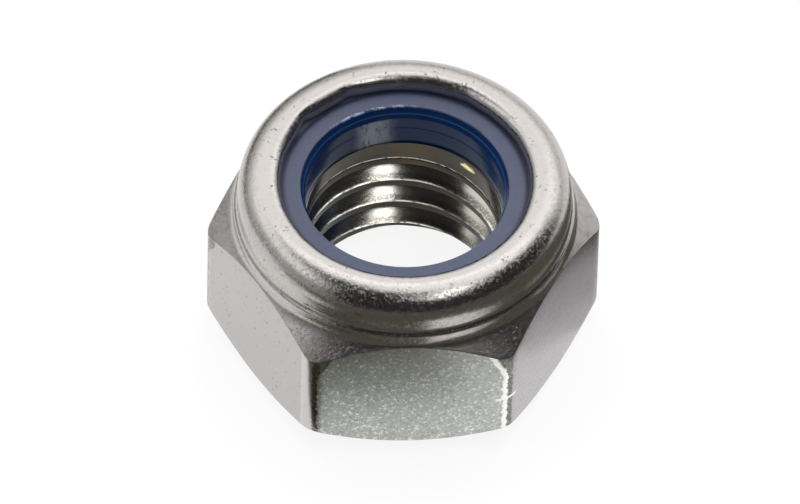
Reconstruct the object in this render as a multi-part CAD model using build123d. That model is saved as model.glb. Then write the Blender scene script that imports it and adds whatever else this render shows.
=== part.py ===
from build123d import *
import os
from math import cos, radians, tan

# Hexagon lock nut with a captive plastic ring, all lengths in millimetres.
# Origin: centre of the bearing face, on the thread axis. +Z: towards the collar.
# Two corners of the hexagon lie on +X and -X, two wrench flats face -Y and +Y.

# Thread, M12 x 1.75: the bore is plain here, at the thread's minor diameter
thread_diameter = 12.0
thread_pitch = 1.75
thread_radius = thread_diameter / 2
thread_minor_radius = thread_radius - 0.5413 * thread_pitch
countersink_deg = 45.0
countersink_flare = 0.45

# Hexagon
total_height = 11.6
steel_beside_thread = 3.0
across_flats = thread_diameter + 2 * steel_beside_thread
corner_radius = 1.2
bearing_set_in = 1.2
bearing_radius = across_flats / 2 - bearing_set_in
bottom_chamfer_deg = 34.0
top_chamfer_deg = 44.0
trim_margin = 0.6
chamfer_reach = across_flats / 2 / cos(radians(30.0)) + trim_margin

# Recess for the ring: the ring fills it, so both pieces share these values
lip_height = 0.9
ring_height = 2.6
recess_step = 1.75
recess_radius = thread_radius + recess_step
recess_roof_z = total_height - lip_height
recess_floor_z = recess_roof_z - ring_height

# Collar, rolled over at the top into a lip that holds the ring
collar_wall = 0.95
collar_height = 3.1
collar_radius = recess_radius + collar_wall
lip_width = 2.2
lip_nose_radius = 0.6
lip_inner_radius = collar_radius - lip_width
shoulder_radius = lip_width - lip_nose_radius
crest_radius = collar_radius - shoulder_radius
recess_corner_cut = shoulder_radius - collar_wall

# Ridge where the hexagon's chamfer meets the collar
ridge_step = 0.2
ridge_height = 0.65
ridge_radius = collar_radius + ridge_step
ridge_bottom_z = total_height - collar_height
ridge_top_z = ridge_bottom_z + ridge_height

# Plastic ring
bore_over_thread = 0.13
mouth_flare = 0.25
mouth_depth = 0.7
ring_bore_radius = thread_minor_radius + bore_over_thread
ring_mouth_radius = ring_bore_radius + mouth_flare
ring_throat_z = recess_roof_z - mouth_depth


def quarter_arc(centre_r, centre_z, radius, start_deg, end_deg):
    """Arc in the section plane, angles measured from the outward direction."""
    return CenterArc((centre_r, centre_z), radius, start_deg, end_deg - start_deg)


def body_section():
    """Half section of the steel body, before the hexagon trims it."""
    bottom_rise = (chamfer_reach - bearing_radius) * tan(radians(bottom_chamfer_deg))
    top_fall = (chamfer_reach - ridge_radius) * tan(radians(top_chamfer_deg))
    bottom_sink_radius = thread_radius + countersink_flare
    bottom_sink = (bottom_sink_radius - thread_minor_radius) / tan(radians(countersink_deg))
    top_sink = (thread_radius - thread_minor_radius) / tan(radians(countersink_deg))
    shoulder_z = total_height - shoulder_radius
    nose_z = total_height - lip_nose_radius
    with BuildSketch(Plane.XZ) as section:
        with BuildLine():
            Polyline(
                (collar_radius, shoulder_z),
                (collar_radius, ridge_top_z + ridge_step),
                (ridge_radius, ridge_top_z),
                (ridge_radius, ridge_bottom_z),
                (chamfer_reach, ridge_bottom_z - top_fall),
                (chamfer_reach, bottom_rise),
                (bearing_radius, 0.0),
                (bottom_sink_radius, 0.0),
                (thread_minor_radius, bottom_sink),
                (thread_minor_radius, recess_floor_z - top_sink),
                (thread_radius, recess_floor_z),
                (recess_radius, recess_floor_z),
                (recess_radius, recess_roof_z - recess_corner_cut),
                (recess_radius - recess_corner_cut, recess_roof_z),
                (lip_inner_radius, recess_roof_z),
                (lip_inner_radius, nose_z),
            )
            quarter_arc(crest_radius, nose_z, lip_nose_radius, 180, 90)
            quarter_arc(crest_radius, shoulder_z, shoulder_radius, 90, 0)
        make_face()
    return section.sketch


def hexagon_prism():
    """Hexagonal bar with rounded corners, taller than the nut."""
    with BuildPart() as prism:
        with BuildSketch():
            RegularPolygon(across_flats / 2, 6, major_radius=False)
        extrude(amount=total_height + trim_margin)
        fillet(prism.edges().filter_by(Axis.Z), corner_radius)
    return prism.part


def nut_body():
    """Steel body: bore, chamfered hexagon, ridge, rolled collar and recess."""
    turned = revolve(body_section(), axis=Axis.Z)
    return turned & hexagon_prism()


def nylon_insert():
    """Plastic ring with a tapered mouth, pressed in and held by the lip."""
    with BuildSketch(Plane.XZ) as section:
        with BuildLine():
            Polyline(
                (recess_radius - recess_corner_cut, recess_roof_z),
                (ring_mouth_radius, recess_roof_z),
                (ring_bore_radius, ring_throat_z),
                (ring_bore_radius, recess_floor_z),
                (recess_radius, recess_floor_z),
                (recess_radius, recess_roof_z - recess_corner_cut),
                close=True,
            )
        make_face()
    return revolve(section.sketch, axis=Axis.Z)


def write_part(shape, name):
    """Writes one piece as a STEP file."""
    shape.label = name
    export_step(shape, os.path.join("parts", name + ".step"))


os.makedirs("parts", exist_ok=True)
write_part(nut_body(), "nut_body")
write_part(nylon_insert(), "nylon_insert")
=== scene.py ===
import math

import bmesh
import bpy
import numpy as np
from mathutils import Matrix, Vector


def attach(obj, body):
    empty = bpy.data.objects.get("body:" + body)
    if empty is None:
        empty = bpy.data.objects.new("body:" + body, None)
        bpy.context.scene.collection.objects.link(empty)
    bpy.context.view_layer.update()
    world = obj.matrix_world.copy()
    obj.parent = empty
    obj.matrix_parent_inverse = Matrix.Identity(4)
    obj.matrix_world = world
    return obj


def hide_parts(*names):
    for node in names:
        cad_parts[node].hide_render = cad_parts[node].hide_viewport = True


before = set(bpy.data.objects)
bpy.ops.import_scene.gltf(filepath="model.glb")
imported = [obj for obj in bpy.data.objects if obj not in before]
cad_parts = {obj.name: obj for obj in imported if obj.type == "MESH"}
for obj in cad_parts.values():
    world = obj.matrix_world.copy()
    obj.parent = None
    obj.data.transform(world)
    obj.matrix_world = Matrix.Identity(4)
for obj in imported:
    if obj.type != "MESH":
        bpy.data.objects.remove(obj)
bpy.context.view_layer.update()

# Sizes in millimetres, in the frame of the part
MM = 0.001
HALF_FLATS = 9.0
CORNER_RADIUS = 1.2
BEARING_RADIUS = 7.8
BOTTOM_SLOPE = math.tan(math.radians(34.0))
TOP_SLOPE = math.tan(math.radians(44.0))
RIDGE_RADIUS = 8.9
RIDGE_BOTTOM = 8.5
RIDGE_TOP = 9.15
RIDGE_STEP = 0.2
RIDGE_FILLET = 0.95
RIDGE_FILLET_SHARE = 2.6
COLLAR_RADIUS = 8.7
TOTAL_HEIGHT = 11.6
NOSE_RADIUS = 0.6
SHOULDER_RADIUS = 1.6
CREST_RADIUS = COLLAR_RADIUS - SHOULDER_RADIUS
LIP_INNER = CREST_RADIUS - NOSE_RADIUS
ROOF = 10.7
FLOOR = 8.1
RECESS_RADIUS = 7.75
RECESS_CORNER = 0.65
BOTTOM_SINK = 6.45

# Thread M12 x 1.75: the bore stands in by 5/8 of the sharp thread's height
PITCH = 1.75
MAJOR = 6.0
BORE_SHARE = 0.5413
MINOR = MAJOR - BORE_SHARE * PITCH
THREAD_DEPTH = 0.86
CREST_EDGE_BACK = 5.145
CREST_EDGE_AZIMUTH = 86.6
THREAD_PHASE = CREST_EDGE_BACK - PITCH * CREST_EDGE_AZIMUTH / 360.0
THREAD_SOFT_SAMPLES = 27
THREAD_BURR = 0.022
THREAD_BURR_WIDTH = 0.012
TOP_LAND = 0.04
LAND_STEP = 0.05
CLOSING_SPAN = 0.25
RUN_OUT_START = 268.0
RUN_OUT_SPAN = 50.0

# Plastic ring
RING_BORE = MINOR + 0.13
RING_MOUTH = RING_BORE + 0.25
RING_THROAT = 10.0
RING_SINK = 0.004
RING_GAP = 0.02
RING_LIFT = 0.01
MOUTH_BURR = 0.045
RIM_SINK = 0.02
RIM_SWELL = 0.015
LIP_PRESS = 0.07

# Rows and columns of the meshes; the first rows inside the lip follow its wave
CORNER_COLUMNS = 12
FLAT_COLUMNS = 40
RING_COLUMNS = 288
SHOULDER_STEPS = 18
NOSE_STEPS = 10
INSIDE_ROWS = 8
WAVED_INSIDE_ROWS = 3
WAVE_GROWTH_ROWS = 8.0
CREST_ROWS_ON_NOSE = 6

# Clean-up of the meshes, in degrees and metres
SHARP_ANGLE = 32.0
MERGE_DISTANCE = 2e-7
EMPTY_EDGE = 1e-8

# Faults of the lip: height of the waves, and depth, azimuth and width of each step
LIP_WAVE = 0.024
CREST_WAVE = 0.012
LIP_STEPS = ((0.17, 139.0, 5.0), (0.10, 114.0, 3.5), (0.05, 60.0, 5.0), (0.05, 232.0, 9.0))

# Bruise on the right front corner: a shallow dent, with a painted white glint along the scratch
NICK_AZIMUTH = 299.6
NICK_WIDTH = 2.4
NICK_HEIGHT = 3.98
NICK_SPREAD = 0.14
NICK_REACH = 0.35
NICK_DEPTH = 0.018

# Painted warm glint on the land above the thread
GLINT_AZIMUTH = 46.9
GLINT_HEIGHT = 7.60

# Flats and corners that look different, as azimuths in degrees
FRONT_FLAT = (-118.3, -60.9)
RIGHT_FLAT = (-58.0, -1.5)
RIGHT_CORNER = (-75.0, -45.0)
NICK_GLINT_SPAN = (-63.5, -56.5)


def arc(centre, radius, start, end, steps):
    """Points of an arc in the section plane, angles in degrees from outward."""
    a = np.radians(np.linspace(start, end, steps + 1))
    return np.stack([centre[0] + radius * np.cos(a), centre[1] + radius * np.sin(a)], axis=1)


def corner_arc(before, corner, after, radius, steps):
    """Start, inner points and end of the arc that rounds one corner of a path."""
    d1 = (corner - before) / np.linalg.norm(corner - before)
    d2 = (after - corner) / np.linalg.norm(after - corner)
    turn = math.atan2(d1[0] * d2[1] - d1[1] * d2[0], float(np.dot(d1, d2)))
    cut = radius * math.tan(abs(turn) / 2)
    start = corner - d1 * cut
    end = corner + d2 * cut
    normal = np.array([-d1[1], d1[0]]) * (1.0 if turn > 0 else -1.0)
    centre = start + normal * radius
    v = -normal * radius
    inner = []
    for k in range(1, steps):
        c, s = math.cos(turn * k / steps), math.sin(turn * k / steps)
        inner.append(centre + np.array([c * v[0] - s * v[1], s * v[0] + c * v[1]]))
    return start, inner, end


def rounded(points, radii, spans, arc_steps):
    """Open path through points, with rounded corners and divided straight runs."""
    pts = [np.array(p, float) for p in points]
    last = len(pts) - 1
    corners = {
        i: corner_arc(pts[i - 1], pts[i], pts[i + 1], radii[i], arc_steps) for i in range(1, last)
    }
    path = [pts[0]]
    for i in range(last):
        a = corners[i][2] if i in corners else pts[0]
        b = corners[i + 1][0] if i + 1 in corners else pts[last]
        for k in range(1, spans[i] + 1):
            path.append(a + (b - a) * k / spans[i])
        if i + 1 in corners:
            path.extend(corners[i + 1][1])
            path.append(corners[i + 1][2])
    return np.array(path)


def wave_noise(angle, terms, seed):
    """Smooth periodic noise round the axis, about -1 to 1."""
    gain = 1.6
    local = np.random.default_rng(seed)
    total = np.zeros_like(angle)
    weight = 0.0
    for n in terms:
        amount = 1.0 / math.sqrt(n)
        total = total + amount * np.sin(n * angle + local.uniform(0, 2 * math.pi))
        weight += amount
    return total / weight * gain


def bump_at(angle, centre_deg, width_deg):
    """Round bump of height 1 round the axis at centre_deg."""
    d = (np.degrees(angle) - centre_deg + 180.0) % 360.0 - 180.0
    return np.exp(-((d / width_deg) ** 2))


def flat_limit():
    """Degrees from the middle of a flat to the start of the rounded corner."""
    reach = (HALF_FLATS - CORNER_RADIUS) * math.tan(math.radians(30.0))
    return math.degrees(math.atan(reach / HALF_FLATS))


def column_angles():
    """Azimuths of the mesh columns, closer together on the rounded corners."""
    half = 30.0 - flat_limit()
    rows = []
    for corner in range(6):
        base = 60.0 * corner
        rows.extend(base + np.linspace(-half, half, CORNER_COLUMNS + 1)[:-1])
        rows.extend(base + np.linspace(half, 60.0 - half, FLAT_COLUMNS + 1)[:-1])
    return np.radians(np.array(rows))


def hexagon_radius(angle):
    """Distance from the axis to the hexagon with rounded corners."""
    a = np.abs((np.degrees(angle)) % 60.0 - 30.0)
    flat = HALF_FLATS / np.cos(np.radians(a))
    centre = (HALF_FLATS - CORNER_RADIUS) / math.cos(math.radians(30.0))
    b = np.radians(30.0 - a)
    inner = np.sqrt(np.maximum(CORNER_RADIUS ** 2 - (centre * np.sin(b)) ** 2, 0.0))
    return np.where(a <= flat_limit(), flat, centre * np.cos(b) + inner)


def outer_path(radius, edge):
    """Section of the steel from the bottom countersink round to the recess floor."""
    low = (radius - BEARING_RADIUS) * BOTTOM_SLOPE
    high = RIDGE_BOTTOM - (radius - RIDGE_RADIUS) * TOP_SLOPE
    shoulder_z = TOTAL_HEIGHT - SHOULDER_RADIUS
    nose_z = TOTAL_HEIGHT - NOSE_RADIUS

    # The fillet under the ridge is smaller on the flats, where the chamfer is short
    fillet = min(RIDGE_FILLET, RIDGE_FILLET_SHARE * (radius - RIDGE_RADIUS))
    side = rounded(
        points=[
            (BOTTOM_SINK, 0.0),
            (BEARING_RADIUS, 0.0),
            (radius, low),
            (radius, NICK_HEIGHT - NICK_REACH),
            (radius, NICK_HEIGHT + NICK_REACH),
            (radius, high),
            (RIDGE_RADIUS, RIDGE_BOTTOM),
            (RIDGE_RADIUS, RIDGE_TOP),
            (COLLAR_RADIUS, RIDGE_TOP + RIDGE_STEP),
            (COLLAR_RADIUS, shoulder_z),
        ],
        radii=[0, 0.12, edge, 0.01, 0.01, edge, fillet, 0.22, 0.40, 0],
        spans=[3, 3, 5, 12, 4, 4, 2, 1, 3],
        arc_steps=6,
    )
    shoulder = arc((CREST_RADIUS, shoulder_z), SHOULDER_RADIUS, 0, 90, SHOULDER_STEPS)[1:]
    nose = arc((CREST_RADIUS, nose_z), NOSE_RADIUS, 90, 180, NOSE_STEPS)[1:]
    half_cut = RECESS_CORNER / 2
    inside = np.array(
        [
            (LIP_INNER, ROOF + 0.12),
            (LIP_INNER + 0.02, ROOF + 0.02),
            (LIP_INNER + 0.3, ROOF),
            (RECESS_RADIUS - RECESS_CORNER, ROOF),
            (RECESS_RADIUS - half_cut, ROOF - half_cut),
            (RECESS_RADIUS, ROOF - RECESS_CORNER),
            (RECESS_RADIUS, FLOOR),
            (MINOR + TOP_LAND, FLOOR),
        ]
    )
    return np.concatenate([side, shoulder, nose, inside])


def shape_outside(paths, angles):
    """Small real faults: a wavy lip edge with steps, an uneven crest, a dented corner."""
    nose_start = paths.shape[1] - INSIDE_ROWS - NOSE_STEPS
    moved = LIP_WAVE * wave_noise(angles, (3, 7, 13, 21, 34, 55), 8)
    for step, centre_deg, width_deg in LIP_STEPS:
        moved = moved + step * bump_at(angles, centre_deg, width_deg)
    for k in range(nose_start, nose_start + NOSE_STEPS + WAVED_INSIDE_ROWS):
        share = min((k - nose_start) / WAVE_GROWTH_ROWS, 1.0)
        paths[:, k, 0] += share * moved
    crest = CREST_WAVE * wave_noise(angles, (2, 3, 5, 8, 19, 31), 12)
    for k in range(nose_start - SHOULDER_STEPS, nose_start + CREST_ROWS_ON_NOSE):
        paths[:, k, 1] -= CREST_WAVE - np.minimum(crest, CREST_WAVE)
    radius = paths[:, :, 0]
    height = paths[:, :, 1]
    on_side = (radius > HALF_FLATS) & (height < RIDGE_BOTTOM)
    width = bump_at(angles, NICK_AZIMUTH, NICK_WIDTH)[:, None]
    dent = width * np.exp(-(((height - NICK_HEIGHT) / NICK_SPREAD) ** 2))
    paths[:, :, 0] -= on_side * NICK_DEPTH * dent


def thread_samples():
    """Places within one pitch, 0 at the upper edge of the flat crest, and radii."""
    rise = [0.0, 0.03, 0.16, 0.19, 0.39, 0.46, 0.62, 0.80, 1.3125, PITCH]
    depth = [0.0, 0.05, 0.255, 0.30, 0.565, 0.65, THREAD_DEPTH, THREAD_DEPTH, 0.0, 0.0]

    # Start, end and number of rows of each stretch of the pitch
    stretches = (
        (-1.0, -0.96, 3),
        (-0.96, -0.66, 9),
        (-0.66, -0.54, 3),
        (-0.54, -0.27, 4),
        (-0.27, -0.23, 2),
        (-0.23, -0.03, 2),
        (-0.03, 0.0, 2),
    )
    u = []
    for start, end, steps in stretches:
        u.extend(np.linspace(start, end, steps + 1)[:-1])

    # Softened profile, with a fine burr on both edges of the crest
    at = np.array(rise) / PITCH - 1.0
    fine = np.linspace(-1.5, 0.5, 2001)
    wrapped = (fine + 1.0) % 1.0 - 1.0
    raw = MINOR + np.interp(wrapped, at, depth)
    kernel = np.hanning(THREAD_SOFT_SAMPLES)
    soft = np.convolve(raw, kernel / kernel.sum(), mode="same")
    edge = np.minimum(np.abs(wrapped), np.abs(wrapped + 1.0))
    soft -= THREAD_BURR * np.exp(-((edge / THREAD_BURR_WIDTH) ** 2))
    return np.array(u), np.interp(u, fine, soft)


def rise_to(value, limit, span):
    """0 up to span below the limit, then rising evenly to 1 at the limit."""
    return min(max((value - limit) / span + 1.0, 0.0), 1.0)


def thread_radius(groove, azimuth_deg, z):
    """Groove radius, with the plain land above the last turn and its run-out."""
    round_from = (azimuth_deg - RUN_OUT_START) % 360.0
    past_back = RUN_OUT_START + round_from - 90.0 - 360.0
    last_edge = CREST_EDGE_BACK + PITCH * (1.0 + past_back / 360.0)
    above = rise_to(z, last_edge, LAND_STEP)
    grown = min(round_from / RUN_OUT_SPAN, 1.0)
    fade = grown * grown * (3.0 - 2.0 * grown) * above
    radius = groove * (1.0 - fade) + (MINOR + TOP_LAND * above) * fade
    closing = rise_to(z, FLOOR, CLOSING_SPAN)
    radius = radius * (1.0 - closing) + (MINOR + TOP_LAND) * closing
    return max(radius, BOTTOM_SINK - z)


def quads_between(count, row, next_row, faces):
    """Ring of quads between two closed rows of vertices."""
    for j in range(count):
        n = (j + 1) % count
        a = row * count
        b = next_row * count
        faces.append((a + j, a + n, b + n, b + j))


def steel_mesh():
    """The whole steel body as one closed mesh: outside, lip, recess and helical thread."""
    angles = column_angles()
    count = len(angles)
    edge = 0.085 + 0.03 * wave_noise(angles, (5, 9, 14, 23), 3)
    paths = np.array([outer_path(r, e) for r, e in zip(hexagon_radius(angles), edge)])
    shape_outside(paths, angles)
    cos, sin = np.cos(angles), np.sin(angles)
    verts = []
    faces = []
    rows = paths.shape[1]
    for k in range(rows):
        for j in range(count):
            r, z = paths[j, k]
            verts.append((r * cos[j], r * sin[j], z))
    for k in range(rows - 1):
        quads_between(count, k, k + 1, faces)
    zones = [0] * len(faces)
    add_thread(verts, faces, angles)
    zones += [1] * (len(faces) - len(zones))
    return verts, faces, zones


def add_thread(verts, faces, angles):
    """Helical grid of the bore; its seam joins one turn to the next."""
    count = len(angles)
    base = len(verts)
    u, groove = thread_samples()
    per = len(u)
    first = -int(math.ceil((THREAD_PHASE + PITCH) / PITCH)) - 1
    turns = int(math.ceil((FLOOR + 2 * PITCH) / PITCH)) + 2
    grid_rows = per * turns
    for k in range(grid_rows):
        step = first + k // per + 1.0 + u[k % per]
        for angle in angles:
            z = THREAD_PHASE + PITCH * (step + angle / (2 * math.pi))
            z = min(max(z, 0.0), FLOOR)
            r = thread_radius(groove[k % per], math.degrees(angle), z)
            verts.append((r * math.cos(angle), r * math.sin(angle), z))
    for k in range(grid_rows - 1):
        for j in range(count):
            a = base + k * count + j
            b = a + count
            if j + 1 < count:
                c, d = b + 1, a + 1
            elif k + 1 + per < grid_rows:
                c = base + (k + 1 + per) * count
                d = base + (k + per) * count
            else:
                continue
            heights = {verts[i][2] for i in (a, b, c, d)}
            if heights in ({0.0}, {FLOOR}):
                continue
            faces.append((a, b, c, d))


def ring_mesh():
    """The plastic ring: flat rim, tapered mouth with tool marks, bore, hidden outside."""
    angles = np.linspace(0, 2 * math.pi, RING_COLUMNS, endpoint=False)
    top = ROOF - RING_SINK
    bottom = FLOOR + RING_LIFT
    outside = RECESS_RADIUS - RING_GAP
    shape = rounded(
        points=[
            (RECESS_RADIUS - RECESS_CORNER - RING_GAP, top),
            (RING_MOUTH, top),
            (RING_BORE + 0.13, ROOF - 0.36),
            (RING_BORE + 0.095, ROOF - 0.40),
            (RING_BORE, RING_THROAT),
            (RING_BORE + 0.012, RING_THROAT - 0.75),
            (RING_BORE, RING_THROAT - 0.80),
            (RING_BORE, bottom),
            (outside, bottom),
            (outside, ROOF - RECESS_CORNER),
        ],
        radii=[0, 0.05, 0.02, 0.02, 0.06, 0.01, 0.01, 0.03, 0.03, 0],
        spans=[22, 5, 1, 5, 4, 1, 5, 3, 3],
        arc_steps=3,
    )
    rows = len(shape)

    # Torn burr round the mouth, highest at the back
    burr = np.maximum(0.4 + 0.6 * wave_noise(angles, (11, 17, 29, 41, 67, 97), 31), 0.0)
    burr *= 0.35 + 0.9 * bump_at(angles, 112.0, 26.0) + 0.3 * bump_at(angles, 40.0, 20.0)
    swell = wave_noise(angles, (1, 2, 3, 5), 32)

    verts = []
    zones = []
    faces = []
    for r, z in shape:
        on_top = z > top - 0.03 and r < 7.0
        near_rim = math.exp(-(((r - RING_MOUTH - 0.04) / 0.06) ** 2)) if on_top else 0.0
        near_lip = math.exp(-(((r - LIP_INNER) / 0.20) ** 2)) if on_top else 0.0
        for j in range(RING_COLUMNS):
            dz = MOUTH_BURR * near_rim * burr[j] - LIP_PRESS * near_lip
            if on_top:
                dz -= RIM_SINK + RIM_SWELL * swell[j]
            verts.append((r * math.cos(angles[j]), r * math.sin(angles[j]), z + dz))
    for k in range(rows):
        m = (k + 1) % rows
        quads_between(RING_COLUMNS, k, m, faces)
        inner = max(shape[k][0], shape[m][0]) < RING_MOUTH - 0.03
        zones += [1 if inner else 0] * RING_COLUMNS
    return verts, faces, zones


def make_object(name, verts, faces, materials, zones):
    """Mesh object from millimetre points, merged, closed and smooth-shaded by angle."""
    data = bpy.data.meshes.new(name)
    data.from_pydata([(x * MM, y * MM, z * MM) for x, y, z in verts], [], faces)
    for m in materials:
        data.materials.append(m)
    data.polygons.foreach_set("material_index", zones)
    obj = bpy.data.objects.new(name, data)
    bpy.context.scene.collection.objects.link(obj)
    tidy_mesh(data)
    return obj


def tidy_mesh(data):
    """Merges doubled points, drops empty faces, faces outwards, marks sharp edges."""
    work = bmesh.new()
    work.from_mesh(data)
    bmesh.ops.remove_doubles(work, verts=work.verts, dist=MERGE_DISTANCE)
    bmesh.ops.dissolve_degenerate(work, edges=work.edges, dist=EMPTY_EDGE)
    bmesh.ops.recalc_face_normals(work, faces=work.faces)
    loose = [v for v in work.verts if not v.link_faces]
    bmesh.ops.delete(work, geom=loose, context="VERTS")
    limit = math.radians(SHARP_ANGLE)
    for f in work.faces:
        f.smooth = True
    for e in work.edges:
        if len(e.link_faces) == 2 and e.calc_face_angle(0.0) > limit:
            e.smooth = False
    work.to_mesh(data)
    work.free()


class Nodes:
    """Short way to add and link shader nodes."""

    def __init__(self, name, tree=None):
        if tree is None:
            self.material = bpy.data.materials.new(name)
            self.material.use_nodes = True
            tree = self.material.node_tree
            tree.nodes.clear()
        self.tree = tree

    def add(self, kind, **values):
        node = self.tree.nodes.new(kind)
        for key, value in values.items():
            setattr(node, key, value)
        return node

    def put(self, socket, value):
        if isinstance(value, bpy.types.NodeSocket):
            self.tree.links.new(value, socket)
        else:
            socket.default_value = value

    def math(self, operation, a, b=0.0):
        node = self.add("ShaderNodeMath", operation=operation)
        self.put(node.inputs[0], a)
        self.put(node.inputs[1], b)
        return node.outputs[0]

    def times(self, *values):
        total = values[0]
        for value in values[1:]:
            total = self.math("MULTIPLY", total, value)
        return total

    def plus(self, *values):
        total = values[0]
        for value in values[1:]:
            total = self.math("ADD", total, value)
        return total

    def one_minus(self, value):
        return self.math("SUBTRACT", 1.0, value)

    def moved(self, vector, offset):
        node = self.add("ShaderNodeVectorMath", operation="ADD")
        self.put(node.inputs[0], vector)
        self.put(node.inputs[1], offset)
        return node.outputs["Vector"]

    def coordinates(self):
        """Object coordinates in millimetres."""
        node = self.add("ShaderNodeVectorMath", operation="SCALE")
        self.put(node.inputs[0], self.add("ShaderNodeTexCoord").outputs["Object"])
        self.put(node.inputs["Scale"], 1.0 / MM)
        return node.outputs["Vector"]

    def split(self, vector):
        node = self.add("ShaderNodeSeparateXYZ")
        self.put(node.inputs[0], vector)
        return node.outputs[0], node.outputs[1], node.outputs[2]

    def join(self, x, y, z):
        node = self.add("ShaderNodeCombineXYZ")
        for socket, value in zip(node.inputs, (x, y, z)):
            self.put(socket, value)
        return node.outputs[0]

    def radius(self, x, y):
        """Distance from the axis."""
        return self.math("SQRT", self.plus(self.times(x, x), self.times(y, y)))

    def azimuth(self, x, y):
        """Degrees round the axis, -180 to 180."""
        return self.times(self.math("ARCTAN2", y, x), 180.0 / math.pi)

    def normal(self):
        return self.split(self.add("ShaderNodeNewGeometry").outputs["Normal"])

    def noise(self, vector, scale, detail=3.0, rough=0.5):
        node = self.add("ShaderNodeTexNoise")
        self.put(node.inputs["Vector"], vector)
        node.inputs["Scale"].default_value = scale
        node.inputs["Detail"].default_value = detail
        node.inputs["Roughness"].default_value = rough
        return node.outputs["Fac"]

    def stretched(self, x, y, z, detail=3.0, rough=0.6):
        """Noise of coordinates that are already scaled one by one."""
        return self.noise(self.join(x, y, z), 1.0, detail, rough)

    def cells(self, vector, scale):
        node = self.add("ShaderNodeTexVoronoi", feature="F1")
        self.put(node.inputs["Vector"], vector)
        node.inputs["Scale"].default_value = scale
        return node.outputs["Distance"]

    def ramp(self, value, low, high, out_low=0.0, out_high=1.0):
        """Smooth step from out_low at low to out_high at high."""
        node = self.add("ShaderNodeMapRange", interpolation_type="SMOOTHSTEP")
        names = ("Value", "From Min", "From Max", "To Min", "To Max")
        for key, item in zip(names, (value, low, high, out_low, out_high)):
            self.put(node.inputs[key], item)
        return node.outputs["Result"]

    def band(self, value, low, high, soft):
        """1 between low and high, with soft flanks."""
        up = self.ramp(value, low - soft, low + soft)
        down = self.ramp(value, high + soft, high - soft)
        return self.times(up, down)

    def mix(self, factor, a, b):
        node = self.add("ShaderNodeMix", data_type="RGBA")
        self.put(node.inputs["Factor"], factor)
        self.put(node.inputs[6], a)
        self.put(node.inputs[7], b)
        return node.outputs[2]

    def bump(self, height, strength, distance_mm, normal=None):
        node = self.add("ShaderNodeBump")
        self.put(node.inputs["Height"], height)
        node.inputs["Strength"].default_value = strength
        node.inputs["Distance"].default_value = distance_mm * MM
        if normal is not None:
            self.put(node.inputs["Normal"], normal)
        return node.outputs["Normal"]

    def principled(self, **values):
        shader = self.add("ShaderNodeBsdfPrincipled")
        for key, value in values.items():
            self.put(shader.inputs[key.replace("_", " ")], value)
        return self.output(shader.outputs[0])

    def output(self, shader):
        node = self.add("ShaderNodeOutputMaterial")
        self.tree.links.new(shader, node.inputs["Surface"])
        return self.material


def rgb(r, g, b):
    return (r, g, b, 1.0)


# Colours of the outside of the steel
STEEL_DARK = rgb(0.455, 0.437, 0.432)
STEEL_LIGHT = rgb(0.490, 0.474, 0.468)
STEEL_COLLAR = rgb(0.56, 0.53, 0.50)
BROWN_STAIN = rgb(0.38, 0.32, 0.29)
DARK_STAIN = rgb(0.10, 0.085, 0.075)
DARK_PIT = rgb(0.12, 0.10, 0.09)
FRONT_AT_LEFT = rgb(0.430, 0.452, 0.425)
FRONT_AT_RIGHT = rgb(0.500, 0.515, 0.488)
FRONT_DARK = rgb(0.19, 0.20, 0.18)
# Painted highlight: white sparkles of the front flat
FRONT_PAINTED_SPARKLE = rgb(1.0, 1.0, 0.97)
DUST_DARK = rgb(0.37, 0.355, 0.365)
DUST_LIGHT = rgb(0.58, 0.56, 0.57)
# Painted sheen, painted shade and painted highlight for the rounded corners; the highlight colour
# also paints the glint at the nick
CORNER_PAINTED_SHEEN = rgb(0.66, 0.65, 0.63)
CORNER_PAINTED_SHADE = rgb(0.085, 0.085, 0.065)
PAINTED_HIGHLIGHT = rgb(1.0, 1.0, 0.96)

# Colours of the cut steel in the bore
CUT_DARK = rgb(0.40, 0.385, 0.335)
CUT_LIGHT = rgb(0.56, 0.545, 0.49)
# Painted shade just under the crests
NEAR_CREST_SHADE = rgb(0.17, 0.16, 0.135)
# Painted shade: near-black crests and land above the thread
LAND_SHADE_DARK = rgb(0.024, 0.023, 0.017)
LAND_SHADE_LIGHT = rgb(0.060, 0.056, 0.042)
LAND_WARM = rgb(0.105, 0.072, 0.040)
# Painted reflection: warm glint on the land
GLINT = rgb(0.95, 0.80, 0.42)
# Painted highlight on the crest burrs
BURR_HIGHLIGHT = rgb(0.95, 0.94, 0.88)

# Colours of the nylon
RIM_DARK = rgb(0.048, 0.060, 0.118)
RIM_LIGHT = rgb(0.082, 0.098, 0.165)
# Painted shadow under the lip
RIM_SHADOW_UNDER_LIP = rgb(0.016, 0.018, 0.050)
# Painted glints on the mouth's burr
MOUTH_GLINT = rgb(0.50, 0.58, 0.74)
RIM_SPECK = rgb(0.40, 0.42, 0.52)
MOUTH_DARK = rgb(0.005, 0.030, 0.125)
MOUTH_LIGHT = rgb(0.009, 0.048, 0.175)
BORE_DARK = rgb(0.002, 0.038, 0.130)
BORE_LIGHT = rgb(0.006, 0.062, 0.210)
# Painted reflection on the bore
BORE_REFLECTION_DARK = rgb(0.42, 0.48, 0.58)
BORE_REFLECTION_LIGHT = rgb(0.80, 0.85, 0.92)
EDGE_LINE_BLUE = rgb(0.10, 0.17, 0.33)

# What both nylon materials share
NYLON = {
    "IOR": 1.53,
    "Subsurface_Weight": 0.25,
    "Subsurface_Radius": (0.0004, 0.0007, 0.0016),
    "Subsurface_Scale": 0.5,
}


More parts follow.
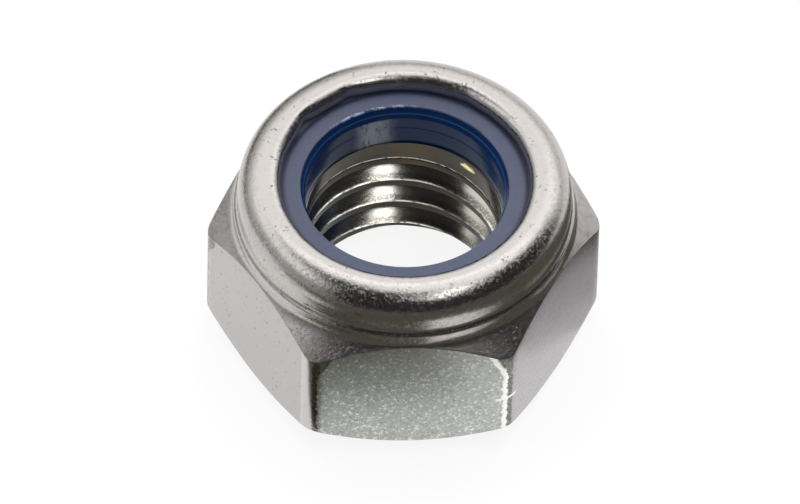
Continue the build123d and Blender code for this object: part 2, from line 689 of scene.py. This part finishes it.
def steel_material():
    """Tumbled stainless steel: fine dents, speckled front flat with painted sparkles, painted
    highlight, sheen and shade on the corners.
    """
    n = Nodes("stainless_steel")
    p = n.coordinates()
    x, y, z = n.split(p)
    r = n.radius(x, y)
    azimuth = n.azimuth(x, y)
    nz = n.normal()[2]

    # Noise of several sizes, in millimetres
    frost = n.noise(p, 6.5, 4.0, 0.72)
    grain = n.noise(p, 15.0, 3.0, 0.6)
    medium = n.noise(p, 2.4, 4.0, 0.6)
    broad = n.noise(p, 0.5, 3.0, 0.5)
    blots = n.noise(n.moved(p, (7.3, 1.9, 4.1)), 1.7, 5.0, 0.68)
    pits = n.cells(p, 2.6)
    torn = n.stretched(n.times(x, 0.8), n.times(y, 0.8), n.times(z, 2.4), 5.0, 0.75)

    # The hexagon's sides, the chamfer above them and the collar
    upright = n.ramp(n.math("ABSOLUTE", nz), 0.30, 0.10)
    side = n.times(upright, n.ramp(z, 8.55, 8.40), n.ramp(r, 8.5, 8.9))
    cone = n.times(n.band(nz, 0.45, 0.92, 0.06), n.ramp(z, 8.62, 8.45), n.ramp(z, 4.5, 5.0))
    collar = n.ramp(z, 8.45, 8.65)

    # Degrees from the nearest corner, with torn borders
    wobble = n.times(n.plus(torn, -0.5), 3.0)
    turned = n.plus(azimuth, wobble)
    from_corner = n.plus(n.math("FLOORED_MODULO", n.plus(turned, 30.0), 60.0), -30.0)
    front = n.times(side, n.band(turned, *FRONT_FLAT, 0.35))
    right_flat = n.times(side, n.band(turned, *RIGHT_FLAT, 0.35))
    right_corner = n.band(azimuth, *RIGHT_CORNER, 3.0)
    other_corners = n.one_minus(right_corner)

    # Painted highlight, painted sheen and painted shade along the rounded corners, which bend
    # away from the corner near the chamfer
    bend = n.ramp(z, 5.8, 7.5, 0.0, 3.6)
    bent = n.plus(from_corner, bend)
    corner_highlight = n.times(side, right_corner, n.band(bent, -1.7, -0.1, 0.25))
    # Painted highlight: a white glint along the scratch at the dent
    nick_glint = n.times(n.ramp(r, 9.5, 9.8), n.band(azimuth, *NICK_GLINT_SPAN, 0.8))
    nick_glint = n.times(nick_glint, n.band(z, 3.90, 4.06, 0.02))
    corner_sheen = n.times(side, n.band(from_corner, -4.2, 0.2, 0.4), other_corners)
    shade_right = n.times(right_corner, n.ramp(bent, -0.1, 0.4), n.ramp(from_corner, 2.2, 1.6))
    bent_back = n.math("SUBTRACT", from_corner, bend)
    shade_left = n.times(n.ramp(from_corner, 0.0, 0.6), n.ramp(bent_back, 2.2, 1.6))
    shade_left = n.times(shade_left, other_corners)
    corner_shade = n.times(side, n.plus(shade_left, shade_right))

    # Colour: stains and pits everywhere
    tint = n.mix(broad, STEEL_DARK, STEEL_LIGHT)
    tint = n.mix(n.times(collar, 0.5), tint, STEEL_COLLAR)
    tint = n.mix(n.times(cone, n.ramp(blots, 0.42, 0.62), 0.45), tint, BROWN_STAIN)
    dark_spots = n.times(n.ramp(blots, 0.60, 0.68), n.ramp(frost, 0.45, 0.58))
    tint = n.mix(n.times(dark_spots, 0.75), tint, DARK_STAIN)
    pinned = n.times(n.ramp(pits, 0.17, 0.08), n.ramp(medium, 0.48, 0.56))
    tint = n.mix(n.times(pinned, 0.8), tint, DARK_PIT)

    # Colour: matt front flat with painted bright sparkles, dusty right flat, edges
    # Painted highlights: white sparkles where the peened front flat would catch the light
    specks = n.times(n.ramp(frost, 0.54, 0.66), 0.85)
    fine_sparkles = n.times(n.ramp(grain, 0.56, 0.70), 0.8)
    matt = n.mix(n.ramp(x, -4.0, 4.0), FRONT_AT_LEFT, FRONT_AT_RIGHT)
    matt = n.mix(n.times(n.ramp(frost, 0.46, 0.34), 0.6), matt, FRONT_DARK)
    matt = n.mix(n.plus(specks, fine_sparkles), matt, FRONT_PAINTED_SPARKLE)
    tint = n.mix(front, tint, matt)
    dusted = n.mix(n.ramp(grain, 0.40, 0.62), DUST_DARK, DUST_LIGHT)
    tint = n.mix(n.times(right_flat, 0.7), tint, dusted)
    # Painted sheen, painted shade and painted highlight on the rounded corners, and the painted
    # glint at the nick
    tint = n.mix(n.times(corner_sheen, 0.6), tint, CORNER_PAINTED_SHEEN)
    tint = n.mix(n.times(corner_shade, n.ramp(grain, 0.36, 0.52), 0.9), tint, CORNER_PAINTED_SHADE)
    tint = n.mix(n.math("MAXIMUM", corner_highlight, nick_glint), tint, PAINTED_HIGHLIGHT)

    # Gloss
    rough = n.plus(0.13, n.times(broad, 0.05), n.times(grain, 0.08))
    rough = n.plus(rough, n.times(front, 0.22), n.times(cone, 0.09), n.times(right_flat, 0.07))

    # Fine relief, stronger on the chamfer and the collar
    dented = n.plus(0.7, n.times(cone, 0.5), n.times(collar, 0.3))
    pocks = n.times(n.ramp(frost, 0.52, 0.68), n.plus(n.times(cone, 0.32), n.times(collar, 0.24)))
    normal = n.bump(n.times(frost, dented), 0.50, 0.014)
    normal = n.bump(n.times(grain, dented), 0.40, 0.006, normal)
    normal = n.bump(n.times(medium, dented), 0.30, 0.022, normal)
    normal = n.bump(pocks, 0.60, 0.022, normal)
    return n.principled(Base_Color=tint, Metallic=1.0, Roughness=rough, Normal=normal)


def thread_material():
    """Cut steel in the bore: marks along the helix, crests painted dark as painted shade, painted
    highlights on the burred crest edges.
    """
    n = Nodes("thread_steel")
    p = n.coordinates()
    x, y, z = n.split(p)
    r = n.radius(x, y)

    # Place within one pitch, 0 at the upper edge of the crest
    turn = n.times(n.azimuth(x, y), 1.0 / 360.0)
    height = n.math("SUBTRACT", z, n.times(turn, PITCH))
    along = n.math("DIVIDE", n.plus(height, -THREAD_PHASE), PITCH)
    place = n.math("FLOORED_MODULO", along, 1.0)
    lines = n.stretched(n.times(height, 15.0), n.times(r, 15.0), n.times(turn, 9.0))
    tears = n.stretched(n.times(height, 7.0), n.times(r, 7.0), n.times(turn, 95.0), 4.0, 0.7)
    grain = n.noise(p, 11.0, 3.0, 0.6)

    # Crests and the plain land above the last turn (painted shade), burred edges (painted
    # highlight), flank under the crest (painted shade)
    crest = n.times(n.ramp(r, MINOR + 0.10, MINOR + 0.05), n.ramp(place, 0.70, 0.76))
    top_land = n.times(n.ramp(r, MINOR + 0.14, MINOR + 0.08), n.ramp(z, 6.2, 6.4))
    edges = n.plus(n.ramp(place, 0.035, 0.010), n.ramp(place, 0.978, 0.992))
    burr = n.times(edges, n.ramp(tears, 0.36, 0.52))
    near_crest = n.times(n.ramp(r, MINOR + 0.42, MINOR + 0.22), n.ramp(place, 0.30, 0.20))

    # Colour
    tint = n.mix(tears, CUT_DARK, CUT_LIGHT)
    # Painted shade on the flank just under each crest
    tint = n.mix(n.times(near_crest, n.ramp(grain, 0.66, 0.46), 0.85), tint, NEAR_CREST_SHADE)
    # Painted shade: crests and the land above the thread nearly black, for the shaded floor they
    # mirror
    crest_shade = n.mix(tears, LAND_SHADE_DARK, LAND_SHADE_LIGHT)
    tint = n.mix(n.math("MAXIMUM", crest, n.times(top_land, 0.96)), tint, crest_shade)
    degrees = n.times(turn, 360.0)
    warm = n.times(top_land, n.band(degrees, 70.0, 92.0, 12.0))
    tint = n.mix(n.times(warm, 0.5), tint, LAND_WARM)

    # Painted warm glint with a torn border, 5.5 degrees by 0.22 mm
    across = n.times(n.plus(degrees, -GLINT_AZIMUTH), 1.0 / 5.5)
    upward = n.times(n.plus(z, -GLINT_HEIGHT), 1.0 / 0.22)
    away = n.plus(n.radius(across, upward), n.times(n.plus(tears, -0.5), 2.4))
    tint = n.mix(n.times(top_land, n.ramp(away, 1.05, 0.45)), tint, GLINT)
    # Painted highlight along the burred edges of the crests
    tint = n.mix(n.times(burr, 0.95), tint, BURR_HIGHLIGHT)

    rough = n.plus(0.10, n.times(tears, 0.12), n.times(crest, 0.15))
    normal = n.bump(lines, 0.40, 0.006)
    normal = n.bump(tears, 0.40, 0.008, normal)
    return n.principled(Base_Color=tint, Metallic=1.0, Roughness=rough, Normal=normal)


def nylon_rim_material():
    """Blue nylon of the flat rim: scuffed and a little dusty, with a painted shadow under the lip
    and painted glints on the mouth's burr.
    """
    n = Nodes("blue_nylon")
    p = n.coordinates()
    x, y = n.split(p)[:2]
    r = n.radius(x, y)
    azimuth = n.azimuth(x, y)
    scuff = n.noise(p, 5.0, 5.0, 0.68)
    fine = n.noise(p, 16.0, 3.0, 0.6)
    rays = n.stretched(n.times(azimuth, 0.9), n.times(r, 0.8), 0.0)
    glint_breaks = n.stretched(n.times(azimuth, 0.16), n.times(r, 2.0), 3.0, 4.0, 0.7)
    lip_shadow = n.ramp(r, LIP_INNER - 0.35, LIP_INNER - 0.05)
    # Painted highlights: glints along the torn burr of the mouth, at the back
    mouth_glint = n.band(r, RING_MOUTH - 0.05, RING_MOUTH + 0.10, 0.02)
    mouth_glint = n.times(mouth_glint, n.ramp(glint_breaks, 0.47, 0.56), n.band(azimuth, 88.0, 128.0, 14.0))
    specks = n.times(n.ramp(fine, 0.66, 0.76), n.ramp(scuff, 0.50, 0.60))
    colour = n.mix(scuff, RIM_DARK, RIM_LIGHT)
    # Painted shadow of the lip on the rim
    colour = n.mix(n.times(lip_shadow, 0.8), colour, RIM_SHADOW_UNDER_LIP)
    colour = n.mix(n.times(mouth_glint, 0.8), colour, MOUTH_GLINT)
    colour = n.mix(n.times(specks, 0.7), colour, RIM_SPECK)
    rough = n.plus(0.36, n.times(scuff, 0.16))
    normal = n.bump(scuff, 0.45, 0.016)
    normal = n.bump(rays, 0.35, 0.020, normal)
    return n.principled(Base_Color=colour, Roughness=rough, Normal=normal, **NYLON)


def nylon_bore_material():
    """Blue nylon of the tapered mouth and the bore: deep blue, with a painted pale reflection at
    the back.
    """
    n = Nodes("blue_nylon_bore")
    p = n.coordinates()
    x, y, z = n.split(p)
    broad = n.noise(p, 0.9, 3.0, 0.5)
    marks = n.stretched(n.times(x, 0.25), n.times(y, 0.25), n.times(z, 14.0))
    streaks = n.stretched(n.times(x, 2.2), n.times(y, 2.2), n.times(z, 0.9), 4.0, 0.6)
    azimuth = n.plus(n.azimuth(x, y), n.times(n.plus(streaks, -0.5), 6.0))
    in_bore = n.times(n.ramp(z, 10.05, 9.75), n.ramp(azimuth, 116.0, 110.0))
    # Painted reflection: a pale patch on the bore at the back
    reflection_patch = n.times(n.ramp(z, 10.00, 9.85), n.ramp(azimuth, 120.0, 109.0))
    reflection_patch = n.times(reflection_patch, n.ramp(azimuth, 90.0, 104.0), n.ramp(streaks, 0.26, 0.50))
    mouth_blue = n.mix(broad, MOUTH_DARK, MOUTH_LIGHT)
    bore_blue = n.mix(streaks, BORE_DARK, BORE_LIGHT)
    colour = n.mix(in_bore, mouth_blue, bore_blue)
    colour = n.mix(reflection_patch, colour, n.mix(streaks, BORE_REFLECTION_DARK, BORE_REFLECTION_LIGHT))
    # Lighter blue line where the mouth's taper meets the bore
    colour = n.mix(n.times(n.band(z, 10.24, 10.30, 0.015), 0.6), colour, EDGE_LINE_BLUE)
    rough = n.plus(0.14, n.times(streaks, 0.14))
    normal = n.bump(marks, 0.35, 0.012)
    normal = n.bump(streaks, 0.30, 0.020, normal)
    return n.principled(
        Base_Color=colour, Roughness=rough, Normal=normal, Specular_IOR_Level=0.14, **NYLON
    )


def floor_material():
    """Pale floor: it takes light and shadow, and glows the same for eyes and mirrors."""
    n = Nodes("pale_floor")
    diffuse = n.add("ShaderNodeBsdfDiffuse")
    n.put(diffuse.inputs["Color"], rgb(0.15, 0.15, 0.15))
    glow = n.add("ShaderNodeEmission")
    n.put(glow.inputs["Color"], rgb(1, 1, 1))
    path = n.add("ShaderNodeLightPath").outputs
    seen = n.math("MAXIMUM", path["Is Camera Ray"], path["Is Glossy Ray"])
    seen = n.math("MAXIMUM", seen, path["Is Transmission Ray"])
    n.put(glow.inputs["Strength"], n.times(seen, 0.87))
    both = n.add("ShaderNodeAddShader")
    n.tree.links.new(diffuse.outputs[0], both.inputs[0])
    n.tree.links.new(glow.outputs[0], both.inputs[1])
    return n.output(both.outputs[0])


def card_material(name, near, far):
    """Matt card; its colour turns from near to far 10 to 12.2 mm right of the axis."""
    n = Nodes(name)
    diffuse = n.add("ShaderNodeBsdfDiffuse")
    x = n.split(n.coordinates())[0]
    n.put(diffuse.inputs["Color"], n.mix(n.ramp(x, 10.0, 12.2), near, far))
    return n.output(diffuse.outputs[0])


def make_pieces():
    """The steel body and the plastic ring, in place of the part's two solids."""
    verts, faces, zones = steel_mesh()
    body = make_object("steel_body", verts, faces, [steel_material(), thread_material()], zones)
    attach(body, "root")
    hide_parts("nut_body")

    verts, faces, zones = ring_mesh()
    nylon = [nylon_rim_material(), nylon_bore_material()]
    ring = make_object("locking_ring", verts, faces, nylon, zones)
    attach(ring, "root")
    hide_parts("nylon_insert")


def flat_areas(name, areas, z, material):
    """Level rectangles x0, y0, x1, y1 in millimetres, as one stage object."""
    points = []
    faces = []
    for x0, y0, x1, y1 in areas:
        base = len(points)
        for x, y in ((x0, y0), (x1, y0), (x1, y1), (x0, y1)):
            points.append((x * MM, y * MM, z * MM))
        faces.append((base, base + 1, base + 2, base + 3))
    data = bpy.data.meshes.new(name)
    data.from_pydata(points, [], faces)
    data.materials.append(material)
    obj = bpy.data.objects.new(name, data)
    bpy.context.scene.collection.objects.link(obj)
    return obj


def make_floor():
    flat_areas("floor", [(-4000, -4000, 4000, 4000)], 0.0, floor_material())


def make_cards():
    """Dark cards and a grey one round the nut, seen only in what the steel mirrors: painted shade
    that stands in for the shaded floor round the nut.
    """
    # Painted shade: dark sheets where the floor round the nut stands in shade, only for
    # reflections
    dark = rgb(0.105, 0.100, 0.080)
    dark_areas = [
        (-16, -20, -5, -10),
        (-5, -20, 3, -13),
        (-400, -600, 600, -20),
        (11, -20, 600, -5),
        (14, -5, 600, 12),
        (-600, 32, -6, 600),
    ]
    pale = rgb(0.95, 0.94, 0.95)
    grey = rgb(0.54, 0.52, 0.54)
    grey_areas = [(9.9, -5, 14, 12)]
    height = 0.3
    for name, near, far, areas in (
        ("shade_card", dark, dark, dark_areas),
        ("half_shade_card", pale, grey, grey_areas),
    ):
        card = flat_areas(name, areas, height, card_material(name, near, far))
        card.visible_camera = False
        card.visible_diffuse = False
        card.visible_shadow = False


def soft_light(name, span_x, span_y, height, strength, mirrored=True):
    """Level softbox over the table; strength is its brightness as a surface."""
    width = span_x[1] - span_x[0]
    depth = span_y[1] - span_y[0]
    data = bpy.data.lights.new(name, "AREA")
    data.shape = "RECTANGLE"
    data.size = width
    data.size_y = depth
    data.energy = strength * width * depth * math.pi
    lamp = bpy.data.objects.new(name, data)
    lamp.location = (sum(span_x) / 2, sum(span_y) / 2, height)
    lamp.visible_glossy = mirrored
    lamp.visible_camera = False
    bpy.context.scene.collection.objects.link(lamp)


def make_world():
    """Room light: a bright wall behind, a paler one to the left, dim on the camera's side."""
    world = bpy.data.worlds.new("studio")
    world.use_nodes = True
    n = Nodes("studio", world.node_tree)
    x, y, z = n.split(n.add("ShaderNodeTexCoord").outputs["Generated"])

    # The wall behind grows brighter upwards and to the right
    behind = n.ramp(y, 0.20, 0.48)
    behind_level = n.times(n.ramp(z, 0.12, 0.52, 0.50, 1.25), n.ramp(x, 0.1, 0.6, 1.0, 1.35))

    # The wall to the left grows brighter upwards, ends overhead and fades into the one behind
    across = n.plus(n.times(x, -1.0), n.times(y, 0.75), n.times(z, -0.30))
    left = n.times(n.ramp(across, 0.13, 0.20), n.ramp(z, 0.90, 0.70))
    left = n.times(left, n.ramp(z, 0.35, 0.56, 0.40, 1.30))
    left = n.times(left, n.one_minus(n.times(behind, 0.90)))

    dim = 0.030
    level = n.plus(dim, n.times(behind, behind_level), left)
    background = n.tree.nodes["Background"]
    n.put(background.inputs["Color"], rgb(1, 1, 1))
    n.put(background.inputs["Strength"], level)
    bpy.context.scene.world = world


def make_camera():
    """Long lens, placed as fitted to the outline of the nut in the photograph."""
    azimuth = math.radians(-3.37)
    elevation = math.radians(50.42)
    roll = math.radians(1.50)
    distance = 0.9
    pixels_per_mm = 19.17
    frame_width = 800.0
    shift_x_pixels = -3.1
    shift_y_pixels = 0.25
    back = Vector(
        (
            math.sin(azimuth) * math.cos(elevation),
            -math.cos(azimuth) * math.cos(elevation),
            math.sin(elevation),
        )
    )
    right = Vector((math.cos(azimuth), math.sin(azimuth), 0.0))
    up = back.cross(right)
    turned_right = right * math.cos(roll) + up * math.sin(roll)
    turned_up = back.cross(turned_right)
    data = bpy.data.cameras.new("camera")
    data.sensor_width = 36.0
    data.lens = pixels_per_mm * distance / MM * data.sensor_width / frame_width
    data.shift_x = shift_x_pixels / frame_width
    data.shift_y = shift_y_pixels / frame_width
    data.clip_start = 0.05
    data.clip_end = 10.0
    camera = bpy.data.objects.new("camera", data)
    target = Vector((0.0, 0.0, 5.3 * MM))
    turn = Matrix((turned_right, turned_up, back)).transposed().to_4x4()
    camera.matrix_world = Matrix.Translation(target + back * distance) @ turn
    bpy.context.scene.collection.objects.link(camera)
    bpy.context.scene.camera = camera


make_pieces()
make_floor()
make_cards()
make_world()
soft_light("overhead", (-0.25, 0.45), (0.02, 0.22), height=0.50, strength=1.50)
soft_light("middle", (-0.09, 0.30), (-0.10, 0.02), height=0.50, strength=1.50)
soft_light("front_right", (0.105, 0.25), (-0.42, -0.13), height=0.50, strength=3.4)
soft_light("fill", (-0.6, 0.6), (-0.6, 0.6), height=0.80, strength=0.60, mirrored=False)
make_camera()
bpy.context.scene.view_settings.view_transform = "Standard"
